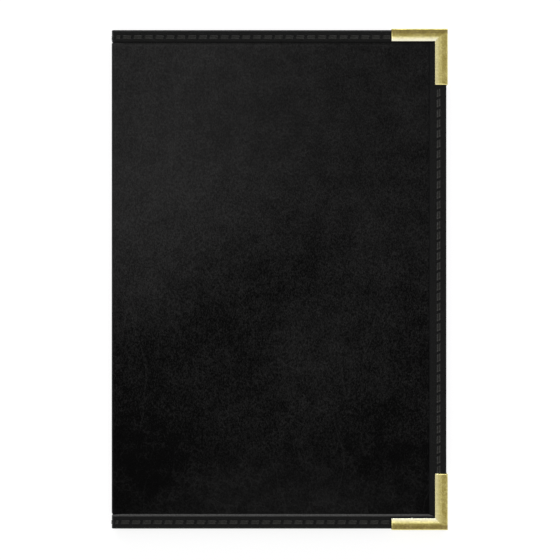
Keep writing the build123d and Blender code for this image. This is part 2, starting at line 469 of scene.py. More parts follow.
def bands(place, scale, stir, **more):
    """Soft parallel bands."""
    return node(place.tree, "ShaderNodeTexWave",
                {"Vector": place, "Scale": scale, "Distortion": stir, "Detail": 1.0, **more},
                "Fac", wave_type="BANDS", bands_direction="X")


# Painted sheen: soft patches of painted light (+) and painted shade (-) on the sheet: x, y and
# reach in millimetres, and strength
SHEEN_PATCHES = (
    (52, 14, 50, 0.16), (20, -34, 45, 0.16), (-62, -6, 36, 0.15), (-62, -80, 42, -0.15),
    (45, -78, 34, -0.12), (-19, 74, 50, -0.09), (-66, 95, 32, -0.09),
)


def painted_sheen_tone(place):
    """Painted sheen: how pale the sheet is painted at a place, for the light and shade of the lamps
    over it, and how deep its grain shows there, which follows that sheen.

    It is painted paler above a slanting line, the more so towards the spine, and darker towards the
    sides below that line. The turn at the top tape is palest, a painted highlight.
    """
    x, y, _ = axes(place)
    upper = remap(x, -50 * MM, 50 * MM, 0.62, 0.26)
    sides = remap(abs(x), 20 * MM, 80 * MM, 0.0, 0.12) * remap(y, -105 * MM, -60 * MM, 1.0, 0.2)
    lower = remap(y, -105 * MM, -80 * MM, 0.17, 0.1) - sides
    above_line = remap(y - x * 0.35, -15 * MM, 65 * MM)
    # The last term is a painted highlight along the turn at the top tape
    tone = lower + above_line * (upper - lower) + remap(y, 109.4 * MM, 110.3 * MM, 0.0, 0.14)
    # Painted light and shade, one soft patch at a time
    for at_x, at_y, reach, strength in SHEEN_PATCHES:
        away = places("DISTANCE", place, (at_x * MM, at_y * MM, 0.0), "Value")
        tone = tone + remap(away, 0.0, reach * MM, strength, 0.0)
    # How strongly the grain shows, most in the middle: part of the painted sheen
    depth = remap(y, -10 * MM, 80 * MM, 1.0, 0.62) * remap(y, -98 * MM, -60 * MM, 0.38, 1.0)
    return tone, depth


def scratches(place, size):
    """Fine upright lines: the contours of a tall soft noise, here and there."""
    contour = abs(cloud(place, size, 1.0, 0.4) - 0.5)
    here = remap(cloud(place, size * 2.3, 2.0, 0.5), 0.5, 0.64)
    return remap(contour, 0.0, 0.013, 1.0, 0.0) * here


def leather_material(name, tint, pale_and_sheen, roughness, grain, crackle, specular, tone, lip_highlight_tint=None):
    """Embossed leatherette: crackled grain, fine upright lines, and paler and duller patches.

    tone gives how pale the sheet is overall, from its place, or is a plain number. A tone from the
    place is painted sheen: the lamps' light and shade painted into the colour. lip_highlight_tint
    is the colour of the painted highlight on a tape's lip and rolled edges.
    """
    material, tree, shader = new_material(name)
    place = object_place(tree)
    patches = cloud(place, 11 * MM, 4.0, 0.6)
    fine = cloud(object_place(tree, (1.0, 0.55, 1.0)), grain, 2.0, 0.7, 0.4)
    pebbles = remap(cells(place, grain, grain * 1.6, grain * 0.6), 0.0, 0.22)
    veins = remap(cells(place, crackle, crackle * 0.7, crackle * 0.9), 0.0, 0.14, 1.0, 0.0)
    scored = scratches(object_place(tree, (1.0, 0.2, 1.0), 0.1), 12 * MM)
    # For the leatherette the tone is painted sheen: light and shade painted into the colour
    pale, depth = tone(place) if callable(tone) else (tone, 1.0)
    pale = (remap(patches, 0.3, 0.7, -0.04, 0.055) + pale) * remap(fine, 0.32, 0.68, 0.8, 1.2)
    pale = pale + remap(fine, 0.36, 0.76, -0.13, 0.33) * depth
    marks = (veins * remap(patches, 0.4, 0.6, 0.03, 0.15)).or_more(scored * 0.18)
    base = blend_colour(pale + marks, tint, pale_and_sheen)
    # Painted highlight on a tape's lip and rolled edges, broken up by the grain
    if lip_highlight_tint is not None:
        rub_and_highlight = node(tree, "ShaderNodeAttribute", output="Fac", attribute_name="edge_highlight")
        base = blend_colour(rub_and_highlight * remap(fine, 0.3, 0.6, 0.6, 1.0), base, lip_highlight_tint)
    dull = remap(patches, 0.3, 0.7, roughness + 0.06, roughness - 0.01)
    feed(shader, {
        "Base Color": base, "Roughness": dull + pebbles * -0.06, "Specular IOR Level": specular,
        "Normal": bump((pebbles, 0.05 * MM, 0.5), (veins, 0.12 * MM, 0.5), (fine, 0.16 * MM, 0.7),
                       (scored, 0.06 * MM, 0.4)),
    })
    return material


def binding_material(binding):
    """The tape's finish: the same leatherette with a finer grain, made once for all tapes."""
    made = bpy.data.materials.get("binding_tape")
    return made or leather_material(
        "binding_tape", binding.tint, [part * 2.2 for part in binding.tint], binding.roughness,
        grain=0.6 * MM, crackle=1.7 * MM, specular=0.12, tone=0.3, lip_highlight_tint=binding.lip_highlight_tint)


def lining_material(tint):
    """A thin inner sheet with a fine woven emboss."""
    material, tree, shader = new_material("lining")
    warp, weft = (bands(object_place(tree, (1, 1, 0.0), turn), 1 / (1.1 * MM * pi * 2), 0.6,
                        **{"Detail Scale": 2.0}) for turn in (0.0, pi / 2))
    patches = cloud(object_place(tree), 20 * MM, 4.0, 0.6)
    pale = [min(1.0, part * 1.5) for part in tint]
    feed(shader, {
        "Base Color": blend_colour(remap(patches, 0.35, 0.7), tint, pale),
        "Roughness": remap(patches, 0.3, 0.7, 0.62, 0.74), "Specular IOR Level": 0.3,
        "Normal": bump((warp * weft, 0.08 * MM, 0.6)),
    })
    return material


def thread_material(tint):
    """Waxed thread: its twist, painted shade in the groove between the strands, a painted highlight
    on the far end, and one strand painted paler than the other.

    The UV map gives the share of the stitch's length and the place across it, from -1 to 1. The
    far ends carry the painted highlight along the fore-edge only.
    """
    material, tree, shader = new_material("thread")
    lay = node(tree, "ShaderNodeUVMap", uv_map="strand")
    part, side, _ = axes(lay)
    on_fore = remap(axes(object_place(tree))[0], CORNER_LOW.x + 6 * MM, CORNER_LOW.x + 8 * MM)
    # Painted highlight on the far end of each fore-edge stitch
    end_highlight = remap(part, 0.7, 0.8) * remap(part, 0.9, 0.97, 1.0, 0.0) * on_fore
    # Painted light and shade: one strand painted paler and the other darker
    lit_strand = remap(side, -0.15, 0.15, 1.3, 0.4)
    # Painted shade: the groove between the strands darkens towards black
    crown = remap(abs(side), 0.02, 0.25, 0.1, 1.0)
    skewed = node(tree, "ShaderNodeMapping",
                  {"Vector": lay, "Scale": (4.2, 1.0, 1.0), "Rotation": (0, 0, 0.62)})
    ply = bands(skewed, 0.9, 0.3)
    fibre = cloud(object_place(tree), 0.18 * MM, 3.0, 0.7)
    # Real rubbing of the thread: paler and darker patches along it
    rub_and_highlight = remap(cloud(object_place(tree), 1.1 * MM, 3.0, 0.6), 0.35, 0.65)
    pale = ply * fibre * remap(rub_and_highlight, 0.0, 1.0, 0.4, 1.6) * lit_strand
    base = blend_colour(pale, tint, [shade * 3.4 for shade in tint])
    base = blend_colour(end_highlight, base, (sum(tint) * 1.9,) * 3)
    feed(shader, {
        "Base Color": blend_colour(crown, (0.001, 0.001, 0.001), base),
        "Roughness": remap(fibre * crown, 0.05, 0.7, 0.6, 0.4), "Specular IOR Level": 0.35,
        "Normal": bump((ply, 0.12 * MM, 0.7), (fibre, 0.04 * MM, 0.5)),
    })
    return material


def brass_material(brass):
    """Polished brass plate, mottled and scratched, with a painted dark reflection along its flat
    band and a painted highlight along its rim.
    """
    material, tree, shader = new_material("brass")
    place = object_place(tree)
    mottle = cloud(place, 3.2 * MM, 6.0, 0.62, 0.4)
    specks = cloud(place, 1.2 * MM, 4.0, 0.72)
    x, y, _ = axes(place)
    reach, ridge = abs(y), CORNER_Y - brass.flat
    # Painted dark reflection on the flat band of the top and bottom arms, not on the rolled edge
    dark_reflection = (remap(reach, ridge - 0.2 * MM, ridge + 0.5 * MM, 0.0, 0.66)
            * remap(reach, CORNER_Y - 0.7 * MM, CORNER_Y - 0.4 * MM, 1.0, 0.0))
    # Real tarnish in mottled patches, with the painted dark reflection added
    tarnish_and_shade = remap(mottle * specks, 0.17, 0.36) * 0.45 + dark_reflection
    in_x, in_y = CORNER_X - x, CORNER_Y - reach
    # Painted highlight: the rim is painted pale, more on the top and bottom arms than on the
    # fore-edge arms
    pale_and_sheen = (remap(in_x.or_less(in_y), 3.3 * MM, brass.flange - 0.2 * MM)
            * remap(in_x - in_y, -0.5 * MM, 0.5 * MM, 0.35, 1.0))
    scored = cloud(object_place(tree, (1.0, 0.06, 1.0), 0.7), 0.35 * MM, 3.0, 0.6)
    ripple = cloud(place, 4.5 * MM, 2.0, 0.5)
    plate = blend_colour(tarnish_and_shade, brass.tint, brass.tarnish_and_shade)
    feed(shader, {
        "Base Color": blend_colour(pale_and_sheen, plate, brass.rub_and_highlight),
        "Roughness": remap(mottle, 0.3, 0.75, brass.roughness - 0.03, brass.roughness + 0.09),
        "Normal": bump((ripple, 0.12 * MM, 0.18), (scored, 0.01 * MM, 0.35),
                       (specks, 0.012 * MM, 0.3)),
        "Metallic": 1.0,
    })
    return material


def board_material():
    """Grey-brown greyboard with fibres, pressed and a little uneven."""
    material, tree, shader = new_material("greyboard")
    pulp = cloud(object_place(tree), 1.6 * MM, 6.0, 0.7, 0.5)
    fibres = cloud(object_place(tree, (1.0, 0.3, 1.0), 0.5), 0.6 * MM, 3.0, 0.6)
    base = blend_colour(remap(pulp, 0.3, 0.7), (0.27, 0.235, 0.19), (0.36, 0.32, 0.265))
    feed(shader, {
        "Base Color": blend_colour(remap(fibres, 0.62, 0.7), base, (0.16, 0.14, 0.12)),
        "Roughness": remap(pulp, 0.3, 0.7, 0.82, 0.94),
        "Normal": bump((pulp, 0.1 * MM, 0.5)),
    })
    return material


def vinyl_material(tint):
    """Clear flexible vinyl with faint rub marks."""
    material, tree, shader = new_material("clear_vinyl")
    rubs = cloud(object_place(tree, (1.0, 0.15, 1.0), 0.3), 3 * MM, 4.0, 0.6)
    haze = cloud(object_place(tree), 30 * MM, 3.0, 0.5)
    feed(shader, {
        "Base Color": blend_colour(haze, tint, [part * 0.96 for part in tint]),
        "Roughness": remap(rubs, 0.45, 0.8, 0.05, 0.16),
        "Normal": bump((haze, 0.4 * MM, 0.25)),
        "Transmission Weight": 1.0, "IOR": 1.46,
    })
    return material


# ---------------------------------------------------------------- sheets


def leather_rise(run, y, leather):
    """Depth of the leather's outer face: slow waves, a dip at the tapes and a swollen spine."""
    past_crease = run - LEAF_START
    near_edge = min(TOP_LIP_Y - y if y > 0 else y - FOOT_LIP_Y, run_at(TAPE_LOW.x) - run)
    fade = smooth(near_edge / (14 * MM)) * smooth(past_crease / (12 * MM))
    slow = noise.noise(Vector((run * 22, y * 22, 1.7)))
    slower = noise.noise(Vector((run * 9, y * 9, 5.2)))
    dip = 0.1 * MM * (1 - smooth(near_edge / (3 * MM))) * smooth((past_crease - 2 * MM) / (4 * MM))
    soft = 0.3 * MM
    swell = (smooth((TOP_LIP_Y - y + soft) / (2 * soft))
             * smooth((y - FOOT_LIP_Y + soft) / (2 * soft))
             * (1 - smooth((past_crease + 2 * soft) / (4.5 * MM))))
    return leather.wave * fade * (0.6 * slow + slower) + dip - leather.bulge * swell


def lining_rise(run):
    """Depth of the lining's outer face: on the leather at the spine, over the board on the leaf."""
    lift = smooth((run - LEAF_START) / (RAMP - 0.1 * MM))
    return LEATHER_THICK + (LINING_DEPTH - LEATHER_THICK) * lift


def leather_sheet(bm, top, bottom):
    """A sheet as large as the leather, with its lines close together where it bends."""
    runs = lines(0, (SPINE_HALF, 0.9 * MM), (LEAF_START, 0.24 * MM),
                 (LEAF_START + 8 * MM, 0.8 * MM), (run_at(SHEET_X), 2.8 * MM))
    inner = SHEET_Y - 8 * MM
    heights = lines(-SHEET_Y, (-inner, 0.35 * MM), (inner, 2.6 * MM), (SHEET_Y, 0.35 * MM))
    sheet(bm, runs, heights, top, bottom)


class MENUCOVER_OT_leather(bpy.types.Operator):
    """Makes the leatherette sheet of each leaf, wrapped round the spine"""
    bl_idname = "menu_cover.leather"
    bl_label = "Leatherette"

    def execute(self, context):
        leather = context.scene.menu_cover.leather
        material = leather_material("leatherette", leather.tint, leather.pale_and_sheen, leather.roughness,
                                    leather.grain, leather.crackle, specular=0.035, tone=painted_sheen_tone)

        def draw(bm):
            leather_sheet(bm, lambda run, y: leather_rise(run, y, leather),
                          lambda run, y: LEATHER_THICK)

        for leaf in LEAVES:
            leaf_piece(leaf, "leatherette", draw, material,
                       [f"{leaf}_cover_leather", f"{leaf}_crease", "spine_leather"], bent=True)
        return {"FINISHED"}


class MENUCOVER_OT_lining(bpy.types.Operator):
    """Makes the lining of each leaf, over the board and into the spine"""
    bl_idname = "menu_cover.lining"
    bl_label = "Lining"

    def execute(self, context):
        material = lining_material(context.scene.menu_cover.leather.lining_tint)

        def draw(bm):
            leather_sheet(bm, lambda run, y: lining_rise(run),
                          lambda run, y: lining_rise(run) + LINING_THICK)

        for leaf in LEAVES:
            leaf_piece(leaf, "lining_sheet", draw, material,
                       [f"{leaf}_lining", "spine_lining"], bent=True)
        return {"FINISHED"}


class MENUCOVER_OT_boards(bpy.types.Operator):
    """Gives the stiffening boards their greyboard finish"""
    bl_idname = "menu_cover.boards"
    bl_label = "Boards"

    def execute(self, context):
        material = board_material()
        for leaf in LEAVES:
            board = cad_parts[f"{leaf}_board"]
            board.data.materials.clear()
            board.data.materials.append(material)
        return {"FINISHED"}


class MENUCOVER_OT_pockets(bpy.types.Operator):
    """Makes the clear page pocket of each leaf"""
    bl_idname = "menu_cover.pockets"
    bl_label = "Page Pockets"

    def execute(self, context):
        pocket = context.scene.menu_cover.pocket
        material = vinyl_material(pocket.tint)
        thick = WINDOW_HIGH.z - WINDOW_LOW.z - pocket.rise
        fore, inner = SHEET_X - pocket.border, SHEET_Y - pocket.border
        wide, fine, turn = 3 * MM, 0.6 * MM, 2.4 * MM
        across = lines(WINDOW_LOW.x, (fore - turn, wide), (fore, fine), (SHEET_X, wide))
        along = lines(-SHEET_Y, (-inner, wide), (-inner + turn, fine), (inner - turn, wide),
                      (inner, fine), (SHEET_Y, wide))

        def lift(x, y):
            slope = smooth((fore - x) / (2 * MM)) * smooth((inner - abs(y)) / (2 * MM))
            broad = noise.noise(Vector((x * 30, y * 14, 3.1)))
            narrow = noise.noise(Vector((x * 70, y * 40, 8.0)))
            return WINDOW_LOW.z + slope * (pocket.rise + pocket.wave * (broad + 0.4 * narrow))

        def draw(bm):
            sheet(bm, across, along, lambda x, y: lift(x, y) + AIR_GAP,
                  lambda x, y: lift(x, y) + thick)

        for leaf in LEAVES:
            leaf_piece(leaf, "clear_pocket", draw, material, [f"{leaf}_window"])
        return {"FINISHED"}


# ---------------------------------------------------------------- tapes and thread

LIP_STEPS = 5                           # edges round a tape's outer lip
FACE_STEPS = 15                         # edges across each of its faces


def tape_ring(width, inner, inner_thick, edge_roll, binding, dip):
    """The U of a folded tape: (distance in from the edge, depth), as a closed loop.

    The outer skin lies one tape above the leather and the inner skin above the inner leg;
    dip gives how far a seam pulls each face in, by the distance from the edge.
    """
    skin, deep = -TAPE_THICK, inner + inner_thick
    roll = min(edge_roll, (deep - skin) / 2)
    lip_start = width - binding.lip_width
    round_off = min(0.5 * MM, inner_thick * 0.8)
    lip = [(lip_start + binding.lip_width * out, skin + binding.lip * (1 - up))
           for out, up in arc((0.0, 0.0), 1.0, 0, 90, LIP_STEPS)]
    outer_face = between((lip_start, skin), (roll, skin), FACE_STEPS)
    inner_face = between((roll, deep), (width - round_off, deep), FACE_STEPS)
    return (
        lip + [(w, depth + dip(w)) for w, depth in outer_face]
        + arc((roll, skin + roll), roll, -90, -180, 5) + arc((roll, deep - roll), roll, 180, 90, 5)
        + [(w, depth - dip(w)) for w, depth in inner_face]
        + arc((width - round_off, deep - round_off), round_off, 90, 0, 4)
        + [(width, inner)] + between((width, inner), (TAPE_THICK, inner), 3)
        + [(TAPE_THICK, inner), (TAPE_THICK, 0.0)]
        + between((TAPE_THICK, 0.0), (width, 0.0), 3) + [(width, 0.0)]
    )


def tape_highlight(ring, lip_amount, roll_amount):
    """How much painted highlight each point of a tape's section carries: its lip, and its rolled
    edge.
    """
    rolled = [w < 0.75 * MM and depth < 0.2 * MM for w, depth in ring]
    return [lip_amount if i < LIP_STEPS else roll_amount * rolled[i] for i in range(len(ring))]


def tape_inner(run):
    """Depth of the underside of a tape's inner leg."""
    return SPINE_INSIDE + (INNER_TAPE - SPINE_INSIDE) * smooth((run - LEAF_START) / RAMP)


def tape_inner_thick(run, binding):
    """Thickness of a tape's inner leg, which is pressed thin in the crease."""
    into = smooth((run - SPINE_HALF + 1.4 * MM) / (1.4 * MM))
    out = smooth((run - LEAF_START - 0.2 * MM) / RAMP)
    return TAPE_THICK + (binding.crease_thick - TAPE_THICK) * into * (1 - out)


def end_row(thread):
    """Places of the stitches along an end, from the crease to the brass."""
    gaps = int((CORNER_LOW.x - CREASE_X - thread.stitch / 2) / thread.end_pitch)
    return [LEAF_START + i * thread.end_pitch for i in range(gaps + 1)]


def fore_row(thread):
    """Places of the stitches along the fore-edge, from the bottom up."""
    gaps = int((2 * CORNER_LOW.y - thread.stitch) / thread.fore_pitch)
    return [(i - gaps / 2) * thread.fore_pitch - thread.fore_shift for i in range(gaps + 1)]


def end_seam(end, thread):
    """How far from its edge an end's seam runs, and how much nearer the spine it lies."""
    if end == "top":
        return thread.inset_top, 0.0
    return thread.inset_bottom, thread.foot_shift


def seam(row, pitch, inset, groove):
    """How far a row of stitches pulls the tape in, by the place along it and across the tape.

    It is a groove all along the row, deepest between two stitches, where the needle went.
    """
    def dip(run, w):
        if not row[0] - pitch / 2 <= run <= row[-1] + pitch / 2:
            return 0.0
        phase = (run - row[0]) / pitch
        hole = exp(-((phase - round(phase - 0.5) - 0.5) / 0.16) ** 2)
        off = (w - inset) / MM
        return groove * (0.55 * exp(-(off / 1.15) ** 2) + 0.75 * hole * exp(-(off / 0.75) ** 2))

    return dip


class MENUCOVER_OT_end_tapes(bpy.types.Operator):
    """Makes the binding tapes over the top and bottom edges, bent round the spine"""
    bl_idname = "menu_cover.end_tapes"
    bl_label = "Top and Bottom Binding"

    def execute(self, context):
        binding, thread = context.scene.menu_cover.binding, context.scene.menu_cover.thread
        material = binding_material(binding)
        under_brass, tip = run_at(CORNER_LOW.x) + 1.5 * MM, run_at(FORE_X)
        for end, side in ENDS:
            width = TAPE_WIDTH[end]
            inset, nearer = end_seam(end, thread)
            dip = seam(end_row(thread), thread.end_pitch, inset, binding.groove)
            runs = lines(0, (SPINE_HALF, 0.5 * MM), (LEAF_START, 0.24 * MM),
                         (under_brass, thread.end_pitch / 8), (tip - width, 3 * MM))
            rings = []
            for run in [*runs, tip]:
                on_leaf = smooth((run - SPINE_HALF) / (LEAF_START - SPINE_HALF))
                edge_roll = binding.spine_roll + (binding.roll - binding.spine_roll) * on_leaf
                ring = tape_ring(width, tape_inner(run), tape_inner_thick(run, binding), edge_roll,
                                 binding, lambda w: dip(run + nearer, w))
                rings.append([(min(run, tip - w), side * (END_Y - w), depth) for w, depth in ring])
            # Painted highlight: the bottom tape's lip, which faces the strip light, is painted
            # pale, and the rolled outer edges are painted a little paler, the top one more
            edge_highlight = tape_highlight(ring, *((0.0, 0.55) if end == "top" else (1.0, 0.35)))
            for leaf in LEAVES:
                leaf_piece(leaf, f"tape_{end}", lambda bm: tube(bm, rings, edge_highlight), material,
                           [f"{leaf}_binding_{end}", f"spine_binding_{end}",
                                       f"{leaf}_crease_binding"], bent=True)
        return {"FINISHED"}


class MENUCOVER_OT_fore_tapes(bpy.types.Operator):
    """Makes the binding tape over each fore-edge, with mitred ends"""
    bl_idname = "menu_cover.fore_tapes"
    bl_label = "Fore-edge Binding"

    def execute(self, context):
        binding, thread = context.scene.menu_cover.binding, context.scene.menu_cover.thread
        material = binding_material(binding)
        dip = seam(fore_row(thread), thread.fore_pitch, thread.inset_fore, binding.groove)
        under_brass = CORNER_LOW.y + 1.5 * MM
        heights = lines(FOOT_LIP_Y, (-under_brass, 3 * MM), (under_brass, thread.fore_pitch / 8),
                        (TOP_LIP_Y, 3 * MM))
        rings = []
        for y in [-END_Y, *heights, END_Y]:
            ring = tape_ring(TAPE_WIDTH["fore_edge"], INNER_TAPE, TAPE_THICK, binding.roll, binding,
                             lambda w: dip(y, w))
            mitred = [max(min(w, TAPE_WIDTH["bottom"]) - END_Y,
                          min(y, END_Y - min(w, TAPE_WIDTH["top"]))) for w, _ in ring]
            rings.append([(FORE_X - w, along, LEAF_DEPTH + depth)
                          for (w, depth), along in zip(ring, mitred)])
        for leaf in LEAVES:
            leaf_piece(leaf, "tape_fore_edge", lambda bm: tube(bm, rings), material,
                       [f"{leaf}_binding_fore_edge"])
        return {"FINISHED"}


# One strand: share of its length, height from below the tape to its crest, and thickness
STRAND = ((0.0, -0.5, 0.6), (0.05, 0.3, 0.9), (0.18, 0.95, 1.0), (0.72, 1.0, 1.0),
          (0.87, 0.55, 1.0), (0.96, -0.1, 0.9), (1.0, -0.5, 0.6))
STRAND_SIDES = 6
STRAND_WIDE, STRAND_DEEP = 1.1, 0.95    # half its width and depth, by its lane and its stand


def stitch_pattern(thread):
    """The mesh of one stitch: two strands side by side along X, with their crests up Z."""
    bm = bmesh.new()
    layer = bm.loops.layers.uv.new("strand")
    lane, deep = thread.spread / 4, thread.stand * STRAND_DEEP
    turns = [2 * pi * (i + 0.5) / STRAND_SIDES for i in range(STRAND_SIDES)]
    for side in (-1, 1):
        rings = [[((part - 0.5) * thread.stitch, lane * (side + STRAND_WIDE * swell * cos(turn)),
                   thread.stand * rise - deep + deep * swell * sin(turn)) for turn in turns]
                 for part, rise, swell in STRAND]
        spots = lattice(bm, len(rings) - 1, STRAND_SIDES, lambda i, j: rings[i][j % STRAND_SIDES])
        for vert, (i, _) in spots.items():
            for loop in vert.link_loops:
                loop[layer].uv = (STRAND[i][0], vert.co.y / (2 * lane))
        bmesh.ops.remove_doubles(bm, verts=list(spots), dist=WELD)
    close_ends(bm)
    pattern = bpy.data.meshes.new("stitch_pattern")
    bm.to_mesh(pattern)
    bm.free()
    return pattern


def sew(bm, pattern, row, lay):
    """Copies a stitch to both faces at each place of a row. lay says where its points go."""
    for outwards in (-1, 1):
        for place in row:
            held = len(bm.verts)
            bm.from_mesh(pattern)
            bm.verts.ensure_lookup_table()
            for vert in bm.verts[held:]:
                vert.co = lay(vert.co, place, outwards)


class MENUCOVER_OT_thread(bpy.types.Operator):
    """Sews the doubled stitches through the tapes, on both faces"""
    bl_idname = "menu_cover.thread"
    bl_label = "Stitching"

    def execute(self, context):
        binding, thread = context.scene.menu_cover.binding, context.scene.menu_cover.thread
        material = thread_material(thread.tint)
        pattern = stitch_pattern(thread)

        def lead(point, slant):
            """How far a point lies ahead, since one strand lies ahead of the other."""
            return slant * point.y / (thread.spread / 2)

        def end_run(point):
            """A point's way along an end row, where the stitches are longer, as their pitch is."""
            return point.x * thread.end_pitch / thread.fore_pitch + lead(point, thread.end_slant)

        for end, side in ENDS:
            inset, nearer = end_seam(end, thread)

            def on_end(point, place, outwards):
                run = place - nearer + end_run(point)
                skin = -TAPE_THICK
                if outwards > 0:
                    skin = tape_inner(run) + tape_inner_thick(run, binding)
                return run, side * (END_Y - inset) + point.y, skin + outwards * point.z

            for leaf in LEAVES:
                leaf_piece(leaf, f"thread_{end}",
                           lambda bm: sew(bm, pattern, end_row(thread), on_end), material,
                           [f"{leaf}_stitching_{end}"], True, NEVER_SHARP)

        def on_fore(point, place, outwards):
            skin = LEAF_DEPTH + (INNER_SKIN if outwards > 0 else -TAPE_THICK)
            return (FORE_X - thread.inset_fore + point.y,
                    place - point.x + lead(point, thread.fore_slant), skin + outwards * point.z)

        for leaf in LEAVES:
            leaf_piece(leaf, "thread_fore_edge",
                       lambda bm: sew(bm, pattern, fore_row(thread), on_fore), material,
                       [f"{leaf}_stitching_fore_edge"], False, NEVER_SHARP)

        def on_spine(point, place, outwards):
            skin = SPINE_TAPE_HIGH.x if outwards > 0 else SPINE_LOW.x - TAPE_THICK
            return skin + outwards * point.z, place + point.y, MIDDLE_Z - end_run(point)

        bm = bmesh.new()
        sew(bm, pattern, (END_Y - thread.inset_top, thread.inset_bottom - END_Y), on_spine)
        piece = finish_piece(bm, "spine_thread", material, ["spine_stitching"],
                             NEVER_SHARP)
        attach(piece, "spine")
        bpy.data.meshes.remove(pattern)
        return {"FINISHED"}


# ---------------------------------------------------------------- brass corners

MITRE = 0.12 * MM                       # between the rings on each side of a corner's diagonal
CUT_ENDS = (0.0, 0.1 * MM, 0.25 * MM, 0.45 * MM, 0.7 * MM, 1.0 * MM)
RIM_TURN = 104                          # degrees; where the rim's rounding starts


def crown_points(brass, inset, count):
    """A flange's crowned face, from its inner rim to the ridge, at a depth below its skin."""
    fall, rest = brass.flange - brass.flat, 1 - brass.break_share
    points = []
    for i in range(count + 1):
        part = 1 - i / count
        slope = atan(brass.crown / fall * (brass.break_share + 2 * rest * part))
        depth = brass.crown * (brass.break_share * part + rest * part ** 2)
        points.append((brass.flat + fall * part - inset * sin(slope), depth + inset * cos(slope)))
    return points


def corner_ring(brass, thick_leaf, press):
    """The channel of a corner as a closed loop: (distance in from the edge, depth).

    press is how far the sheet is pressed down at its cut ends.
    """
    def half(inset, crown_count, roll_count):
        crown = crown_points(brass, inset, crown_count)
        roll = arc((brass.roll, brass.roll), brass.roll - inset, -90, -180, roll_count)
        ridge, edge = crown[-1], roll[0]
        hold = min(0.12 * MM, abs(ridge[0] - edge[0]) / 4)
        points = crown + [(ridge[0] - hold, ridge[1]), (edge[0] + hold / 2, edge[1])] + roll
        return [(w, depth + press * smooth(w / (1.2 * MM))) for w, depth in points]

    def other(points):
        return [(w, thick_leaf - depth) for w, depth in reversed(points)]

    outer, inner = half(0.0, 12, 6), half(brass.thick, 8, 3)
    middle = [(a + b) / 2 for a, b in zip(outer[0], inner[0])]
    rim = arc(middle, brass.thick / 2, RIM_TURN, RIM_TURN - 180, 5)[1:-1]
    return (outer + [(0.0, thick_leaf / 2)] + other(outer) + other(rim)
            + other(inner)[::-1] + [(brass.thick, thick_leaf / 2)] + inner[::-1] + rim)


def foot_reach(reach, brass, arm):
    """How far in a point of a bottom corner lies, drawn in for its narrower flange."""
    drawn_in = smooth((reach - brass.flat) / (brass.flange - brass.flat))
    fade = 1 - smooth((reach - brass.flange) / (arm - brass.flange))
    return reach - (brass.flange - brass.foot_flange) * drawn_in * fade


class MENUCOVER_OT_corners(bpy.types.Operator):
    """Presses the four brass corners"""
    bl_idname = "menu_cover.corners"
    bl_label = "Brass Corners"

    def execute(self, context):
        brass = context.scene.menu_cover.brass
        material = brass_material(brass)
        thick_leaf = CORNER_HIGH.z - CORNER_LOW.z
        arm = CORNER_X - CORNER_LOW.x
        # The rings of one arm, by how far in their points lie from the fore-edge and from the end
        one_arm = []
        for step in [*CUT_ENDS, *lines(2.5 * MM, (arm - brass.flange - 0.4 * MM, 2.5 * MM))]:
            ring = corner_ring(brass, thick_leaf, 0.12 * MM * (1 - smooth(step / (0.5 * MM))))
            one_arm.append([(arm - step, w, depth) for w, depth in ring])
        plain = corner_ring(brass, thick_leaf, 0.0)
        one_arm.append([(w + MITRE, w, depth) for w, depth in plain])
        other_arm = [[(v, u, depth) for u, v, depth in ring] for ring in reversed(one_arm)]
        rings = [[(CORNER_X - u, CORNER_Y - v, depth) for u, v, depth in ring]
                 for ring in (*one_arm, [(w, w, depth) for w, depth in plain], *other_arm)]

        def press_corner(bm, end, side):
            tube(bm, rings)
            caps = [edge for edge in bm.edges
                    if any(len(face.verts) > 4 for face in edge.link_faces)]
            bmesh.ops.bevel(bm, geom=caps, offset=0.09 * MM, segments=2, profile=0.5,
                            affect="EDGES", material=-1)
            for vert in bm.verts:
                if end == "bottom":
                    vert.co.y = CORNER_Y - foot_reach(CORNER_Y - vert.co.y, brass, arm)
                vert.co.y *= side

        for leaf in LEAVES:
            for end, side in ENDS:
                leaf_piece(leaf, f"brass_{end}", lambda bm: press_corner(bm, end, side), material,
                           [f"{leaf}_corner_{end}"], edge_angle=PRESSED_SHARP)
        return {"FINISHED"}


# ---------------------------------------------------------------- studio

# Soft lamps: bearing, tilt from straight up, half width and half height in degrees, brightness
LAMPS = {
    "softbox_top": (90, 23.2, 26, 15, 0.82),
    "softbox_bottom": (-90, 23.2, 26, 15, 0.8),
    "softbox_left": (180, 20, 15, 15, 0.2),
    "softbox_far_left": (180, 26, 15, 13, 0.18),
    "softbox_low_left": (180, 44, 15, 6, 1.6),
    "softbox_right": (0, 23, 15, 15, 0.5),
    "striplight": (90, 62, 30, 4, 12.0),
}
LAMP_DISTANCE = 5.0
SENSOR = 36.0                           # width of the camera's sensor in millimetres
CAMERA_X, CAMERA_Y = 0.27 * MM, -0.31 * MM
WHITE = (1, 1, 1)


def softbox(name, bearing, tilt, half_wide, half_tall, brightness):
    """A soft lamp far off that looks at the cover."""
    bearing, tilt, half_wide, half_tall = map(radians, (bearing, tilt, half_wide, half_tall))
    aim = Vector((sin(tilt) * cos(bearing), sin(tilt) * sin(bearing), cos(tilt)))
    lamp = bpy.data.lights.new(name, "AREA")
    lamp.shape = "RECTANGLE"
    lamp.size, lamp.size_y = (2 * LAMP_DISTANCE * tan(half) for half in (half_wide, half_tall))
    lamp.energy = brightness * pi * lamp.size * lamp.size_y
    holder = bpy.data.objects.new(name, lamp)
    holder.location = aim * LAMP_DISTANCE
    holder.rotation_mode = "QUATERNION"
    holder.rotation_quaternion = aim.to_track_quat("Z", "Y")
    bpy.context.scene.collection.objects.link(holder)


def rays(tree, *kinds):
    """For each kind, whether a ray is of that kind."""
    return [node(tree, "ShaderNodeLightPath", output=f"Is {kind} Ray") for kind in kinds]


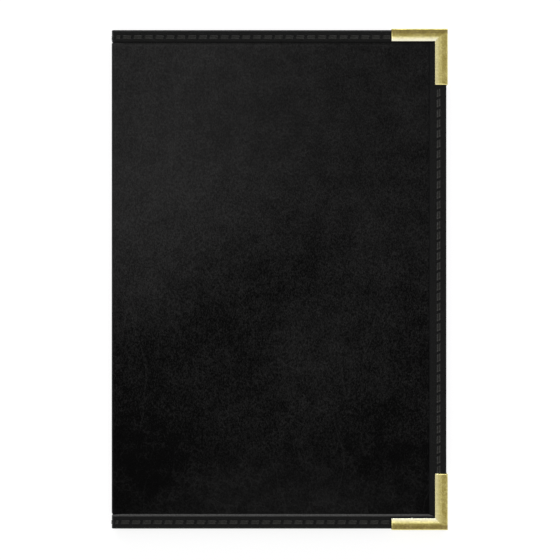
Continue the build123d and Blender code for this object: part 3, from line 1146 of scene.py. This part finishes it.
def room_light(studio):
    """The room: white where the camera sees it; in gloss darker above and pale near the floor."""
    world = bpy.data.worlds.new("studio")
    bpy.context.scene.world = world
    world.use_nodes = True
    tree = world.node_tree
    tree.nodes.clear()
    camera, gloss, clear = rays(tree, "Camera", "Glossy", "Transmission")
    up = axes(node(tree, "ShaderNodeTexCoord", output="Generated"))[2]
    overhead = [part * studio.ceiling for part in studio.ceiling_tint]
    in_gloss = blend_colour(remap(up, 0.12, 0.42, 1.0, 0.0), overhead, WHITE)
    lit = blend_colour(gloss, (studio.room,) * 3, in_gloss)
    seen = blend_colour(camera.or_more(clear), lit, WHITE)
    feed(tree.nodes.new("ShaderNodeOutputWorld"),
         {"Surface": node(tree, "ShaderNodeBackground", {"Color": seen})})


def floor_material(studio):
    """A pale floor that looks white and keeps the shadow of the cover."""
    material, tree, shader = new_material("floor")
    camera, gloss, clear = rays(tree, "Camera", "Glossy", "Transmission")
    feed(shader, {
        "Base Color": blend_colour(cloud(object_place(tree), 0.4, 2.0), studio.floor_tint,
                                   [part * 0.99 for part in studio.floor_tint]),
        "Roughness": 0.9, "Specular IOR Level": 0.0, "Emission Color": (*WHITE, 1),
        "Emission Strength": camera.or_more(gloss.or_more(clear)) * studio.floor_glow,
    })
    return material


class MENUCOVER_OT_stage(bpy.types.Operator):
    """Lays the floor and sets the lamps and the camera"""
    bl_idname = "menu_cover.stage"
    bl_label = "Studio"

    def execute(self, context):
        studio = context.scene.menu_cover.studio
        bm = bmesh.new()
        bmesh.ops.create_grid(bm, x_segments=4, y_segments=4, size=3.0)
        for vert in bm.verts:
            vert.co.z = -0.05 * MM
        mesh = bpy.data.meshes.new("floor")
        bm.to_mesh(mesh)
        bm.free()
        floor = bpy.data.objects.new("floor", mesh)
        context.scene.collection.objects.link(floor)
        mesh.materials.append(floor_material(studio))

        room_light(studio)
        for name, lamp in LAMPS.items():
            softbox(name, *lamp)

        view = bpy.data.cameras.new("camera")
        view.lens, view.sensor_width = studio.lens, SENSOR
        view.clip_start, view.clip_end = 0.05, 20.0
        camera = bpy.data.objects.new("camera", view)
        distance = studio.frame_width * studio.lens / SENSOR
        camera.location = (CAMERA_X, CAMERA_Y, 2 * MIDDLE_Z + distance)
        context.scene.collection.objects.link(camera)
        context.scene.camera = camera
        context.scene.view_settings.view_transform = "Standard"
        return {"FINISHED"}


class MENUCOVER_PT_sidebar(bpy.types.Panel):
    """Lists the settings and the makers of the pieces"""
    bl_label = "Menu Cover"
    bl_idname = "MENUCOVER_PT_sidebar"
    bl_space_type = "VIEW_3D"
    bl_region_type = "UI"
    bl_category = "Menu Cover"

    def draw(self, context):
        cover = context.scene.menu_cover
        for group in ("leather", "binding", "thread", "brass", "pocket", "studio"):
            settings = getattr(cover, group)
            box = self.layout.box()
            box.label(text=group.capitalize())
            for key in settings.bl_rna.properties.keys():
                if key not in ("rna_type", "name"):
                    box.prop(settings, key)
        for operator in OPERATORS:
            self.layout.operator(operator.bl_idname)


GROUPS = (LeatherSettings, BindingSettings, ThreadSettings, BrassSettings, PocketSettings,
          StudioSettings, MenuCoverSettings)
OPERATORS = (MENUCOVER_OT_stage, MENUCOVER_OT_leather, MENUCOVER_OT_lining, MENUCOVER_OT_boards,
             MENUCOVER_OT_pockets, MENUCOVER_OT_end_tapes, MENUCOVER_OT_fore_tapes,
             MENUCOVER_OT_thread, MENUCOVER_OT_corners)
CLASSES = (*GROUPS, *OPERATORS, MENUCOVER_PT_sidebar)


def register():
    for group in CLASSES:
        bpy.utils.register_class(group)
    bpy.types.Scene.menu_cover = bpy.props.PointerProperty(type=MenuCoverSettings)


def unregister():
    del bpy.types.Scene.menu_cover
    for group in reversed(CLASSES):
        bpy.utils.unregister_class(group)


def main():
    """Makes every piece in order."""
    register()
    for operator in OPERATORS:
        family, name = operator.bl_idname.split(".")
        getattr(getattr(bpy.ops, family), name)()


if __name__ == "__main__":
    main()
